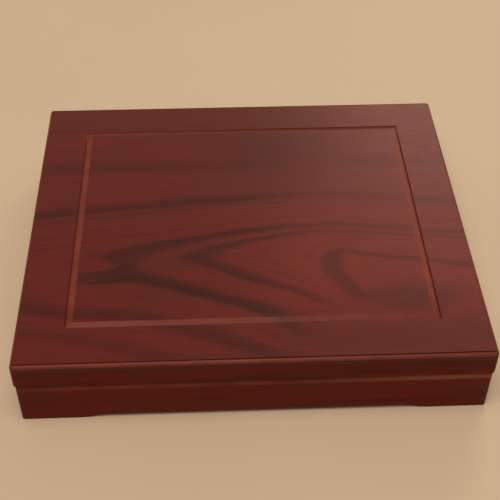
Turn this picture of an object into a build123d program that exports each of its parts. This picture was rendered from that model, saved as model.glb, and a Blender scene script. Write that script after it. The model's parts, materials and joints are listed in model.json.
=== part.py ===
from build123d import *
import os
from math import radians, tan

# A coin display case: a low hinged box of stained mahogany on four bracket feet.
# The lid has a stepped, rounded edge and a routed rectangle round a raised field.
# Inside are a lift-out tray with square coin compartments and a shallow space for papers below it.
#
# Millimetres. X runs across the case, Y from front to back, Z up.
# The origin is on the floor under the middle of the case.

# ---------------------------------------------------------------- the case
case_width = 300.0          # across the lid
case_depth = 263.0          # front to back over the lid
base_height = 33.0          # floor to the base's rim
parting_gap = 0.3           # air between the base's rim and the lid's rim
lid_height = 18.7           # the lid's rim to its top face
lid_wall = 13.0             # thickness of the lid's rails
base_inset = 0.75           # the base stands in from the lid's faces by this much
corner_radius = 2.5         # the upright corners, base and lid
rim_round = 2.5             # rounding of the base's outer top edge

# ---------------------------------------------------------------- feet and bottom
foot_length = 37.0          # flat part of a foot, from the corner
foot_height = 3.6           # how far the apron clears the floor
ogee_run = 18.5             # length of the curve from foot to apron
rabbet_width = 5.0          # step inside the rails that takes the bottom panel
bottom_thickness = 4.0
bottom_top = 9.0            # height of the bottom panel's upper face
felt_thickness = 0.8
board_fit = 0.1             # play at each edge of a board let in between rails

# ---------------------------------------------------------------- lid
top_thickness = 6.0         # the lid's top panel
edge_step = 0.6             # drop from the top face to the rounded edge
edge_round = 2.3            # radius of the rounded edge, and the step's place from the lid's side
groove_margin = 30.8        # lid's side to the groove's outer wall
groove_depth = 1.3
groove_floor = 0.5          # flat bottom of the groove
groove_slope = 4.3          # width of the slope up to the raised field

# ---------------------------------------------------------------- linings
floor_lining_thickness = 1.0
ledge_thickness = 3.5       # lined strips on the walls that carry the tray
tray_below_rim = 9.7        # the base's rim down to the ledges that carry the tray
lining_fit = 0.2            # play round a lining
pad_board_thickness = 1.2
pad_thickness = 2.2
pad_margin = 0.6            # the lid's pad stays this far inside the lid's walls
pad_edge_round = 0.9

# ---------------------------------------------------------------- tray
tray_clearance = 0.5        # play between the tray and the base's walls
tray_rail_width = 5.0
tray_rail_height = 8.3
tray_rail_round = 1.0       # rounding of the tray rails' upper edges
tray_board_thickness = 2.0
tray_rabbet = 2.5           # the board reaches this far under the tray's rails
tray_lining_thickness = 0.6
insert_thickness = 5.1
insert_fit = 0.1
compartment_size = 46.0     # takes a capsule for a crown-sized coin
compartment_corner = 2.0
compartment_columns = 5
compartment_rows = 4
ribbon_width = 10.0
ribbon_thickness = 0.7      # two layers of ribbon
ribbon_reach = 20.0         # how far a pull ribbon lies over the insert
ribbon_slot_fit = 0.1

# ---------------------------------------------------------------- hinges
hinge_length = 38.0
hinge_from_side = 65.0      # the case's side to the middle of a hinge
hinge_set_in = 4.5          # lid's back face to the hinge's axis
barrel_radius = 2.0
pin_radius = 1.0
pin_press = 0.01            # radial play of the pin in the base leaf's knuckles
pin_running = 0.05          # and in the lid leaf's knuckles
leaf_thickness = 1.2
leaf_reach = 7.1            # hinge's axis to the leaf's front edge
knuckle_count = 5
knuckle_gap = 0.1           # between neighbouring knuckles
barrel_clearance = 0.3      # round the barrel, in the rails
leaf_clearance = 0.1        # round a leaf in its mortise
stop_angle = 95.2           # the two bevels at the back meet here

screw_head_radius = 1.8
screw_head_depth = 0.9
screw_shank_radius = 0.9
screw_length = 8.0
screw_tip = 1.2
screw_spacing = 13.0
screws_per_leaf = 3
screw_slot_width = 0.5
screw_slot_depth = 0.4
screw_fit = 0.05            # play round a screw's shank and head

# ---------------------------------------------------------------- magnets
magnet_radius = 3.0
magnet_thickness = 2.5
magnet_from_side = 75.0     # the case's side to the middle of a magnet
magnet_fit = 0.05

past = 1.0                  # how far a cutting block runs past the face it opens

# ---------------------------------------------------------------- worked out from the above
base_width = case_width - 2 * base_inset
base_depth = case_depth - 2 * base_inset
inner_width = case_width - 2 * lid_wall
inner_depth = case_depth - 2 * lid_wall
lid_rim = base_height + parting_gap
case_height = lid_rim + lid_height
top_underside = case_height - top_thickness
back_face = case_depth / 2
hinge_y = back_face - hinge_set_in
hinge_z = base_height + parting_gap / 2
hinge_places = (hinge_from_side - case_width / 2, case_width / 2 - hinge_from_side)
magnet_places = (magnet_from_side - case_width / 2, case_width / 2 - magnet_from_side)
magnet_y = -(inner_depth + lid_wall) / 2
ledge_top = base_height - tray_below_rim
tray_width = inner_width - 2 * tray_clearance
tray_depth = inner_depth - 2 * tray_clearance
tray_inner_width = tray_width - 2 * tray_rail_width
tray_inner_depth = tray_depth - 2 * tray_rail_width
tray_board_top = ledge_top + tray_board_thickness
insert_bottom = tray_board_top + tray_lining_thickness
insert_top = insert_bottom + insert_thickness


# ---------------------------------------------------------------- helpers
def block(x, y, z):
    """A box from pairs of low and high coordinates."""
    middle = Pos((x[0] + x[1]) / 2, (y[0] + y[1]) / 2, (z[0] + z[1]) / 2)
    return middle * Box(x[1] - x[0], y[1] - y[0], z[1] - z[0])


def centred_block(width, depth, z):
    return block((-width / 2, width / 2), (-depth / 2, depth / 2), z)


def disc(x, y, z, radius):
    """An upright round bar between two heights."""
    return Pos(x, y, (z[0] + z[1]) / 2) * Cylinder(radius, z[1] - z[0])


def bar_along_x(x, y, z, radius):
    """A round bar lying along X."""
    lying = Pos((x[0] + x[1]) / 2, y, z) * Rot(0, 90, 0)
    return lying * Cylinder(radius, x[1] - x[0])


def quarter(side, width, depth, z):
    """The quarter of a rectangle that belongs to one side, bounded by its mitres."""
    wide, deep = width / 2, depth / 2
    short = min(wide, deep)
    outlines = {
        "front": [(-wide, -deep), (wide, -deep), (wide - short, short - deep), (short - wide, short - deep)],
        "back": [(wide, deep), (-wide, deep), (short - wide, deep - short), (wide - short, deep - short)],
        "left": [(-wide, deep), (-wide, -deep), (short - wide, short - deep), (short - wide, deep - short)],
        "right": [(wide, -deep), (wide, deep), (wide - short, deep - short), (wide - short, short - deep)],
    }
    corners = outlines[side]
    edges = []
    for start, end in zip(corners, corners[1:] + corners[:1]):
        if (Vector(*start) - Vector(*end)).length > 0.001:
            edges.append(Line(start, end))
    return Pos(0, 0, z[0]) * extrude(make_face(edges), z[1] - z[0])


def mitred_rails(frame, width, depth, z, prefix):
    """Cut a closed frame at its four mitres into front, back, left and right rails."""
    rails = {}
    for side in ("front", "back", "left", "right"):
        rails[f"{prefix}_{side}_rail"] = frame & quarter(side, width, depth, z)
    return rails


def prism_along_x(points, length):
    """A prism with a section of (y, z) points, centred on X = 0."""
    edges = [Line(a, b) for a, b in zip(points, points[1:] + points[:1])]
    section = Plane.YZ * make_face(edges)
    return extrude(section, length / 2, both=True)


# ---------------------------------------------------------------- apron and feet
def apron_section(side_length):
    """The opening under one side: flat along the apron, an ogee down to each foot."""
    foot_end = side_length / 2 - foot_length
    apron_end = foot_end - ogee_run
    half_way = (foot_end + apron_end) / 2
    edges = [Line((-apron_end, foot_height), (apron_end, foot_height))]
    for side in (-1, 1):
        turn = (side * half_way, foot_height / 2)
        edges.append(TangentArc((side * foot_end, 0), turn, tangent=(-side, 0)))
        edges.append(TangentArc((side * apron_end, foot_height), turn, tangent=(side, 0)))
        edges.append(Line((side * foot_end, 0), (side * foot_end, -past)))
    edges.append(Line((-foot_end, -past), (foot_end, -past)))
    return make_face(edges)


def apron_cuts():
    front_to_back = extrude(Plane.XZ * apron_section(base_width), case_depth, both=True)
    side_to_side = extrude(Plane.YZ * apron_section(base_depth), case_width, both=True)
    return front_to_back, side_to_side


# ---------------------------------------------------------------- the bevels at the back
def stop_bevel(direction):
    """What the base (-1) or the lid (+1) loses behind the hinges' axis.

    Opened to stop_angle, the two slanting faces lie on each other and hold the lid.
    """
    behind = back_face + past
    fall = (behind - hinge_y) * tan(radians(stop_angle / 2))
    other_side = hinge_z - direction * (parting_gap + rim_round)
    points = [(hinge_y, hinge_z), (behind, hinge_z + direction * fall), (behind, other_side),
              (hinge_y, other_side)]
    return prism_along_x(points, case_width + 2 * past)


# ---------------------------------------------------------------- hinges
def hinge_span(x):
    return (x - hinge_length / 2, x + hinge_length / 2)


def hinge_mortise(x, direction):
    """The space a hinge takes in the base's (-1) or the lid's (+1) back rail."""
    rim = hinge_z + direction * parting_gap / 2
    left, right = hinge_span(x)
    wide = (left - leaf_clearance, right + leaf_clearance)
    deep = (hinge_y - leaf_reach - leaf_clearance, hinge_y)
    tall = sorted((rim + direction * leaf_thickness, rim - direction * parting_gap))
    long = (left - barrel_clearance, right + barrel_clearance)
    barrel = bar_along_x(long, hinge_y, hinge_z, barrel_radius + barrel_clearance)
    return block(wide, deep, tall) + barrel


def screw_places(x):
    """Screw centres of one leaf: X of each, and the Y they share."""
    first = x - screw_spacing * (screws_per_leaf - 1) / 2
    flat = (hinge_y - leaf_reach, hinge_y - barrel_radius)
    return [(first + i * screw_spacing, sum(flat) / 2) for i in range(screws_per_leaf)]


def screw_head(fit):
    return Pos(0, 0, -screw_head_depth / 2) * Cone(
        screw_shank_radius + fit, screw_head_radius + fit, screw_head_depth)


def wood_screw():
    """A countersunk slotted screw pointing down, its head's face at Z = 0."""
    shank_end = screw_tip - screw_length
    shank = disc(0, 0, (shank_end, -screw_head_depth), screw_shank_radius)
    tip = Pos(0, 0, shank_end - screw_tip / 2) * Cone(0, screw_shank_radius, screw_tip)
    slot = centred_block(2 * screw_head_radius + past, screw_slot_width, (-screw_slot_depth, past))
    return screw_head(0) + shank + tip - slot


def screw_hole():
    """The room a screw takes in leaf and rail, with its play."""
    return screw_head(screw_fit) + disc(0, 0, (-screw_length - screw_fit, 0), screw_shank_radius + screw_fit)


def at_screws(make, x, direction):
    """Copies of a screw or its hole at the places of one leaf, as a list."""
    rim = hinge_z + direction * parting_gap / 2
    turned = Rot(180, 0, 0) if direction > 0 else Rot(0, 0, 0)
    return [Pos(px, py, rim) * turned * make() for px, py in screw_places(x)]


def hinge_leaf(x, direction):
    """One leaf with its knuckles. The base's leaf has the first, third and fifth knuckle."""
    rim = hinge_z + direction * parting_gap / 2
    tall = sorted((rim, rim + direction * leaf_thickness))
    left, right = hinge_span(x)
    flat_end = hinge_y - barrel_radius - barrel_clearance
    leaf = block((left, right), (hinge_y - leaf_reach, flat_end), tall)
    pitch = hinge_length / knuckle_count
    first = 0 if direction < 0 else 1
    for number in range(first, knuckle_count, 2):
        start = left + number * pitch + (knuckle_gap / 2 if number > 0 else 0)
        end = left + (number + 1) * pitch - (knuckle_gap / 2 if number < knuckle_count - 1 else 0)
        leaf += block((start, end), (flat_end, hinge_y), tall)
        leaf += bar_along_x((start, end), hinge_y, hinge_z, barrel_radius)
    play = pin_press if direction < 0 else pin_running
    leaf -= bar_along_x((left - past, right + past), hinge_y, hinge_z, pin_radius + play)
    for hole in at_screws(screw_hole, x, direction):
        leaf -= hole
    return leaf


def hinge_pin(x):
    return bar_along_x(hinge_span(x), hinge_y, hinge_z, pin_radius)


def all_hinge_screws(direction):
    screws = []
    for x in hinge_places:
        screws += at_screws(wood_screw, x, direction)
    return Compound(children=screws)


# ---------------------------------------------------------------- magnets
def magnet_heights(direction):
    """A magnet stands proud of its rim by half the parting gap, so a pair meets face to face."""
    return sorted((hinge_z, hinge_z + direction * magnet_thickness))


def magnets(direction):
    z = magnet_heights(direction)
    return Compound(children=[disc(x, magnet_y, z, magnet_radius) for x in magnet_places])


def magnet_pockets(direction):
    z = magnet_heights(direction)
    return [disc(x, magnet_y, z, magnet_radius + magnet_fit) for x in magnet_places]


# ---------------------------------------------------------------- base
def fit_hardware(shell, direction):
    """Cut the stop bevel, hinge mortises, screw holes and magnet pockets into base or lid."""
    shell -= stop_bevel(direction)
    for x in hinge_places:
        shell -= hinge_mortise(x, direction)
        for hole in at_screws(screw_hole, x, direction):
            shell -= hole
    for pocket in magnet_pockets(direction):
        shell -= pocket
    return shell


def base_rails():
    shell = extrude(RectangleRounded(base_width, base_depth, corner_radius), base_height)
    shell = fillet(shell.edges().group_by(Axis.Z)[-1], rim_round)
    shell -= centred_block(inner_width, inner_depth, (-past, base_height + past))
    shell -= centred_block(inner_width + 2 * rabbet_width, inner_depth + 2 * rabbet_width, (-past, bottom_top))
    for cut in apron_cuts():
        shell -= cut
    shell = fit_hardware(shell, -1)
    return mitred_rails(shell, base_width, base_depth, (-past, base_height + past), "base")


def bottom_panel():
    width = inner_width + 2 * (rabbet_width - board_fit)
    depth = inner_depth + 2 * (rabbet_width - board_fit)
    return centred_block(width, depth, (bottom_top - bottom_thickness, bottom_top))


def underside_felt():
    bottom = bottom_top - bottom_thickness
    width = inner_width + 2 * (rabbet_width - board_fit - lining_fit)
    depth = inner_depth + 2 * (rabbet_width - board_fit - lining_fit)
    return centred_block(width, depth, (bottom - felt_thickness, bottom))


def ledge_strips():
    """Four lined strips standing on the bottom panel against the walls, butted at the corners."""
    z = (bottom_top, ledge_top)
    wide, deep = inner_width / 2, inner_depth / 2
    between = deep - ledge_thickness
    return {
        "front_ledge_strip": block((-wide, wide), (-deep, -between), z),
        "back_ledge_strip": block((-wide, wide), (between, deep), z),
        "left_ledge_strip": block((-wide, ledge_thickness - wide), (-between, between), z),
        "right_ledge_strip": block((wide - ledge_thickness, wide), (-between, between), z),
    }


def floor_lining():
    width = inner_width - 2 * (ledge_thickness + lining_fit)
    depth = inner_depth - 2 * (ledge_thickness + lining_fit)
    return centred_block(width, depth, (bottom_top, bottom_top + floor_lining_thickness))


# ---------------------------------------------------------------- lid
def lid_rails():
    shell = extrude(RectangleRounded(case_width, case_depth, corner_radius), top_underside - lid_rim)
    shell = Pos(0, 0, lid_rim) * shell
    shell -= centred_block(inner_width, inner_depth, (lid_rim - past, top_underside + past))
    shell = fit_hardware(shell, 1)
    return mitred_rails(shell, case_width, case_depth, (lid_rim - past, top_underside + past), "lid")


def lid_top_panel():
    step_z = case_height - edge_step
    edge = extrude(RectangleRounded(case_width, case_depth, corner_radius), step_z - top_underside)
    edge = fillet(edge.edges().group_by(Axis.Z)[-1], edge_round)
    face = extrude(Rectangle(case_width - 2 * edge_round, case_depth - 2 * edge_round), case_height - top_underside)
    panel = Pos(0, 0, top_underside) * (edge + face)
    groove_bottom = case_height - groove_depth
    width = case_width - 2 * groove_margin
    depth = case_depth - 2 * groove_margin
    panel -= centred_block(width, depth, (groove_bottom, case_height + past))
    return panel + raised_field(width - 2 * groove_floor, depth - 2 * groove_floor, groove_bottom)


def raised_field(width, depth, bottom):
    """The field inside the groove, whose four sides slope in as they rise to the top face."""
    top = Rectangle(width - 2 * groove_slope, depth - 2 * groove_slope)
    return loft([Pos(0, 0, bottom) * Rectangle(width, depth), Pos(0, 0, bottom + groove_depth) * top])


def lid_lining_board():
    width = inner_width - 2 * board_fit
    depth = inner_depth - 2 * board_fit
    return centred_block(width, depth, (top_underside - pad_board_thickness, top_underside))


def lid_lining_pad():
    top = top_underside - pad_board_thickness
    pad = centred_block(inner_width - 2 * pad_margin, inner_depth - 2 * pad_margin, (top - pad_thickness, top))
    return fillet(pad.edges().group_by(Axis.Z)[0], pad_edge_round)


# ---------------------------------------------------------------- tray
def compartment_centres():
    """Centres of the compartments, with one gap repeated along each direction."""
    width = tray_inner_width - 2 * insert_fit
    depth = tray_inner_depth - 2 * insert_fit
    gap_x = (width - compartment_columns * compartment_size) / (compartment_columns + 1)
    gap_y = (depth - compartment_rows * compartment_size) / (compartment_rows + 1)
    centres = []
    for row in range(compartment_rows):
        for column in range(compartment_columns):
            x = (column - (compartment_columns - 1) / 2) * (compartment_size + gap_x)
            y = (row - (compartment_rows - 1) / 2) * (compartment_size + gap_y)
            centres.append((x, y))
    return centres


def coin_tray_insert():
    insert = centred_block(tray_inner_width - 2 * insert_fit, tray_inner_depth - 2 * insert_fit,
                           (insert_bottom, insert_top))
    opening = RectangleRounded(compartment_size, compartment_size, compartment_corner)
    cutter = extrude(opening, insert_thickness + 2 * past)
    for x, y in compartment_centres():
        insert -= Pos(x, y, insert_bottom - past) * cutter
    return insert


def tray_floor_lining():
    return centred_block(tray_inner_width - 2 * insert_fit, tray_inner_depth - 2 * insert_fit,
                         (tray_board_top, insert_bottom))


def tray_bottom_board():
    width = tray_inner_width + 2 * (tray_rabbet - board_fit)
    depth = tray_inner_depth + 2 * (tray_rabbet - board_fit)
    return centred_block(width, depth, (ledge_top, tray_board_top))


def ribbon_slot_depth():
    return ribbon_thickness + ribbon_slot_fit


def tray_rails():
    top = ledge_top + tray_rail_height
    frame = centred_block(tray_width, tray_depth, (ledge_top, top))
    frame -= centred_block(tray_inner_width, tray_inner_depth, (ledge_top - past, top + past))
    frame = fillet(frame.edges().group_by(Axis.Z)[-1], tray_rail_round)
    frame -= centred_block(tray_inner_width + 2 * tray_rabbet, tray_inner_depth + 2 * tray_rabbet,
                           (ledge_top - past, tray_board_top))
    slot_end = tray_inner_width / 2 + ribbon_slot_depth()
    slot_half = ribbon_width / 2 + ribbon_slot_fit
    frame -= block((-slot_end, slot_end), (-slot_half, slot_half), (insert_bottom, top + past))
    return mitred_rails(frame, tray_width, tray_depth, (ledge_top - past, top + past), "tray")


def pull_ribbon(side):
    """A ribbon held between the insert and the rail (side -1 left, +1 right), lying over the insert."""
    outer = tray_inner_width / 2 + ribbon_thickness
    y = (-ribbon_width / 2, ribbon_width / 2)
    upright = (tray_inner_width / 2, outer)
    lying = (tray_inner_width / 2 - ribbon_reach, outer)
    ribbon = block(upright, y, (insert_bottom, insert_top)) + block(lying, y, (insert_top, insert_top + ribbon_thickness))
    return ribbon if side > 0 else mirror(ribbon, Plane.YZ)


# ---------------------------------------------------------------- all the pieces
def all_pieces():
    pieces = {}
    pieces.update(base_rails())
    pieces["base_bottom_panel"] = bottom_panel()
    pieces["underside_felt"] = underside_felt()
    pieces["floor_lining"] = floor_lining()
    pieces.update(ledge_strips())
    pieces["base_magnets"] = magnets(-1)
    pieces["base_hinge_screws"] = all_hinge_screws(-1)
    for side, x in zip(("left", "right"), hinge_places):
        pieces[f"{side}_hinge_base_leaf"] = hinge_leaf(x, -1)
        pieces[f"{side}_hinge_lid_leaf"] = hinge_leaf(x, 1)
        pieces[f"{side}_hinge_pin"] = hinge_pin(x)
    pieces["lid_top_panel"] = lid_top_panel()
    pieces.update(lid_rails())
    pieces["lid_lining_board"] = lid_lining_board()
    pieces["lid_lining_pad"] = lid_lining_pad()
    pieces["lid_magnets"] = magnets(1)
    pieces["lid_hinge_screws"] = all_hinge_screws(1)
    pieces["tray_bottom_board"] = tray_bottom_board()
    pieces["tray_floor_lining"] = tray_floor_lining()
    pieces["coin_tray_insert"] = coin_tray_insert()
    pieces.update(tray_rails())
    pieces["left_pull_ribbon"] = pull_ribbon(-1)
    pieces["right_pull_ribbon"] = pull_ribbon(1)
    return pieces


os.makedirs("parts", exist_ok=True)
for node, shape in all_pieces().items():
    export_step(shape, f"parts/{node}.step")
    print(node, round(shape.volume, 1))
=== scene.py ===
# %% [markdown]
# # A coin display case
# The real object is a low mahogany box on four bracket feet. Its hinged lid has a rounded edge under a
# small step and a routed rectangle round a raised field. Inside, a velvet tray with twenty square
# compartments lifts out of a velvet-lined base, and a satin pad lines the lid.
#
# The CAD model already holds every hard piece at its real size. This script gives those pieces their
# stain, lacquer and metal, and models what is soft: the linings, the pad, the tray's insert and its pull
# ribbons. Everything is in metres, with the origin on the floor under the middle of the case.

# %% Load the frame
import json
import math

import bmesh
import bpy
from mathutils import Matrix, Vector, noise


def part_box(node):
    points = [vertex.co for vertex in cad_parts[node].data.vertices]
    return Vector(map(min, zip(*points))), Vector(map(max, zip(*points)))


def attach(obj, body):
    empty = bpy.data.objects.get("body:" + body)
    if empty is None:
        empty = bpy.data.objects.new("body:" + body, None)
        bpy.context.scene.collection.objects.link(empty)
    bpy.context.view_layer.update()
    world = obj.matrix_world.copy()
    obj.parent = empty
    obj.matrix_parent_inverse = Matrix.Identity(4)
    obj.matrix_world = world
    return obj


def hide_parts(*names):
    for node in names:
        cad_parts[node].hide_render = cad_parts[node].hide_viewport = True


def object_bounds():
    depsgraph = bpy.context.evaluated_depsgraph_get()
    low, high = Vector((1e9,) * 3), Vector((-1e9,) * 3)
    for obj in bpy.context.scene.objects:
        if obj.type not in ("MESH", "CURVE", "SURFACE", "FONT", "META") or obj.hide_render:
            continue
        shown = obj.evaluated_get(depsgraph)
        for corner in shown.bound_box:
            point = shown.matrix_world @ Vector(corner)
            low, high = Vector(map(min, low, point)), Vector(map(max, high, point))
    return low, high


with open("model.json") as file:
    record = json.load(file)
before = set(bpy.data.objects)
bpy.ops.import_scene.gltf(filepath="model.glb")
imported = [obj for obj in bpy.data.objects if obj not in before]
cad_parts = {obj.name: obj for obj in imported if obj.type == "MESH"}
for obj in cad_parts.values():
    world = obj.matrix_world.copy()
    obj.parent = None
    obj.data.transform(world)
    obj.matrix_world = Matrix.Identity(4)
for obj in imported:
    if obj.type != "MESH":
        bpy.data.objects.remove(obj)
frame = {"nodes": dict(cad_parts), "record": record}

MM = 0.001
cad_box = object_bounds()
case_low, case_high = cad_box
print("the case measures", [round(side, 4) for side in case_high - case_low])

# %% [markdown]
# ## The camera
# The case is seen from in front and a little left of its middle, from half a metre above the floor,
# looking down on it at about 44 degrees. A camera could be placed by eye, but the box has long straight
# edges, so its place, its turn and its lens were worked out from where those edges meet. The numbers
# below are that camera, in metres and radians.

# %% Camera
CAMERA_PLACE = (-0.02315, -0.5316, 0.5297)
CAMERA_TILT = 0.806          # up from looking straight down
CAMERA_TURN = -0.047         # to the right
CAMERA_ROLL = 0.007
CAMERA_LENS = 73.46          # millimetres, on a sensor 36 mm wide

camera_data = bpy.data.cameras.new("camera")
camera_data.lens = CAMERA_LENS
camera_data.sensor_width = 36.0
camera = bpy.data.objects.new("camera", camera_data)
turned = Matrix.Rotation(CAMERA_TURN, 4, "Z") @ Matrix.Rotation(CAMERA_TILT, 4, "X")
camera.matrix_world = Matrix.Translation(CAMERA_PLACE) @ turned @ Matrix.Rotation(CAMERA_ROLL, 4, "Z")
bpy.context.scene.collection.objects.link(camera)
bpy.context.scene.camera = camera
bpy.context.scene.view_settings.view_transform = "Standard"
print("camera looks along", [round(c, 3) for c in camera.matrix_world.to_3x3() @ Vector((0, 0, -1))])

# %% [markdown]
# ## A short way to write shader nodes
# A stained board's colour is a sum of many small effects: growth rings, streaks, fibres, pores and worn
# edges. Each effect is a few mathematical nodes. Wired by hand they fill pages, so this helper adds a
# node, sets its values and joins its inputs in one line, and a formula in the script reads like the
# formula it is.


# %% Node helper
class Nodes:
    """Adds nodes to one material or node group. A value is a number, a colour or another node's socket."""

    def __init__(self, tree):
        self.tree = tree

    def add(self, kind, inputs=(), **settings):
        node = self.tree.nodes.new(kind)
        for name, value in settings.items():
            setattr(node, name, value)
        for name, value in dict(inputs).items():
            if isinstance(value, bpy.types.NodeSocket):
                self.tree.links.new(value, node.inputs[name])
            else:
                node.inputs[name].default_value = value
        return node

    def maths(self, operation, *values):
        return self.add("ShaderNodeMath", enumerate(values), operation=operation).outputs[0]

    def folded(self, operation, values):
        result = values[0]
        for value in values[1:]:
            result = self.maths(operation, result, value)
        return result

    def total(self, *values):
        return self.folded("ADD", values)

    def largest(self, *values):
        return self.folded("MAXIMUM", values)

    def times(self, a, b):
        return self.maths("MULTIPLY", a, b)

    def minus(self, a, b):
        return self.maths("SUBTRACT", a, b)

    def dimmed(self, value, mask, share):
        """The value, less a share of itself where the mask is 1."""
        return self.times(value, self.minus(1.0, self.times(mask, share)))

    def fade(self, value, start, end):
        """0 before start, 1 after end, and a smooth step between. Start may be the larger one."""
        low, high = min(start, end), max(start, end)
        inputs = {"Value": value, "From Min": low, "From Max": high}
        if start > end:
            inputs.update({"To Min": 1.0, "To Max": 0.0})
        node = self.add("ShaderNodeMapRange", inputs, interpolation_type="SMOOTHSTEP")
        return node.outputs["Result"]

    def band(self, value, start, full, last, end):
        """0 before start, 1 from full to last, and 0 again after end."""
        return self.times(self.fade(value, start, full), self.fade(value, end, last))

    def split(self, vector):
        return self.add("ShaderNodeSeparateXYZ", {"Vector": vector}).outputs[:3]

    def join(self, x, y, z):
        return self.add("ShaderNodeCombineXYZ", {"X": x, "Y": y, "Z": z}).outputs[0]

    def stretched(self, vector, scale, turn=(0, 0, 0)):
        inputs = {"Vector": vector, "Scale": scale, "Rotation": turn}
        return self.add("ShaderNodeMapping", inputs).outputs[0]

    def clouds(self, vector, detail=2.0, roughness=0.5, scale=1.0):
        inputs = {"Vector": vector, "Scale": scale, "Detail": detail, "Roughness": roughness}
        return self.add("ShaderNodeTexNoise", inputs).outputs["Fac"]

    def blend(self, share, first, second):
        """The first colour where share is 0 and the second where it is 1."""
        return self.add("ShaderNodeMix", {0: share, 6: first, 7: second}, data_type="RGBA").outputs[2]

    def bump(self, height, distance, strength=1.0):
        inputs = {"Height": height, "Distance": distance, "Strength": strength}
        return self.add("ShaderNodeBump", inputs).outputs["Normal"]


def colour(red, green, blue):
    return (red, green, blue, 1.0)


def group(name, inputs, outputs):
    """A new node group: its helper, its input sockets by name and its output node."""
    tree = bpy.data.node_groups.new(name, "ShaderNodeTree")
    for socket, kind in inputs.items():
        tree.interface.new_socket(socket, in_out="INPUT", socket_type=kind)
    for socket, kind in outputs.items():
        tree.interface.new_socket(socket, in_out="OUTPUT", socket_type=kind)
    nodes = Nodes(tree)
    given = nodes.add("NodeGroupInput").outputs
    result = nodes.add("NodeGroupOutput").inputs
    return nodes, given, result


def finished(name, build, **constants):
    """A material whose nodes build(nodes, place) makes. It returns what the Principled shader reads."""
    material = bpy.data.materials.new(name)
    material.use_nodes = True
    material.node_tree.nodes.clear()
    nodes = Nodes(material.node_tree)
    place = nodes.add("ShaderNodeTexCoord").outputs["Object"]
    shader = nodes.add("ShaderNodeBsdfPrincipled", {**constants, **build(nodes, place)})
    nodes.add("ShaderNodeOutputMaterial", {"Surface": shader.outputs[0]})
    print("finish", name, "with", len(nodes.tree.nodes), "nodes")
    return material


print("node helper ready")

# %% [markdown]
# ## Mahogany: the fibres
# Every wooden piece shares the same fine structure: long dark streaks, thinner fibres and short open
# pores, all lying along the board. Noise that is stretched a lot in one direction gives all three. The
# group takes a place whose X runs along the grain, so a rail that lies the other way only swaps its X and
# Y before it goes in.

# %% Fibres
FLOAT, VECTOR = "NodeSocketFloat", "NodeSocketVector"


def wood_fibres():
    nodes, given, result = group("wood_fibres", {"Along grain": VECTOR},
                                 {"Streaks": FLOAT, "Fibres": FLOAT, "Pores": FLOAT, "Height": FLOAT})
    place = given["Along grain"]
    streaks = nodes.clouds(nodes.stretched(place, (14, 330, 330)), detail=3.0, roughness=0.6)
    fibres = nodes.clouds(nodes.stretched(place, (70, 2600, 2600)), detail=2.0, roughness=0.55)
    dashes = nodes.clouds(nodes.stretched(place, (330, 5200, 5200)), detail=1.0)
    crowd = nodes.clouds(nodes.stretched(place, (30, 240, 240)), detail=1.0)
    pores = nodes.times(nodes.fade(dashes, 0.62, 0.72), nodes.fade(crowd, 0.38, 0.62))
    height = nodes.minus(nodes.times(fibres, 0.35), pores)
    for name, value in {"Streaks": streaks, "Fibres": fibres, "Pores": pores, "Height": height}.items():
        nodes.tree.links.new(value, result[name])
    return nodes.tree


FIBRES = wood_fibres()
print("group", FIBRES.name, "made")

# %% [markdown]
# ## Mahogany: the stain and the lacquer
# The case is stained a deep red and finished with a satin lacquer. The stain sits darker in the late wood,
# and a painted shade, partly pooled stain, darkens corners and the side under the lid's rounded edge. The
# stain is thinner on rounded edges, where the wood shows orange, and a painted highlight lies there too. One
# function mixes the stain's colours from three masks: dark, for late wood and painted shade; thin, for
# thinner stain and painted highlight; and pale. This keeps the lid's figured top and the plain rails one
# timber.

# %% Stain and lacquer
STAIN = colour(0.158, 0.0135, 0.0066)
STAIN_BROWN = colour(0.122, 0.0165, 0.0078)
STAIN_DARK = colour(0.042, 0.0072, 0.0040)
# thinner stain; on the rounded edges it is also a painted highlight
STAIN_THIN_AND_HIGHLIGHT = colour(0.250, 0.043, 0.016)
STAIN_PALE = colour(0.235, 0.0225, 0.0115)
STAIN_DULL_AND_HIGHLIGHT = colour(0.33, 0.090, 0.053)        # a dull pale stain on the groove's side slopes, and painted light: the base rim's highlight and the groove's shaded back wall
SHADE_UNDER_EDGE = colour(0.070, 0.003, 0.001)     # painted shade on the side under the lid's rounded edge
ROUGHNESS = 0.33             # the lacquer's least; haze, pores and worn edges add to it
LACQUER = {"Specular IOR Level": 0.22, "Coat Weight": 0.03, "Coat Roughness": 0.22}
RAIL_LACQUER = {"Specular IOR Level": 0.08, "Coat Weight": 0.0}


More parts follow.
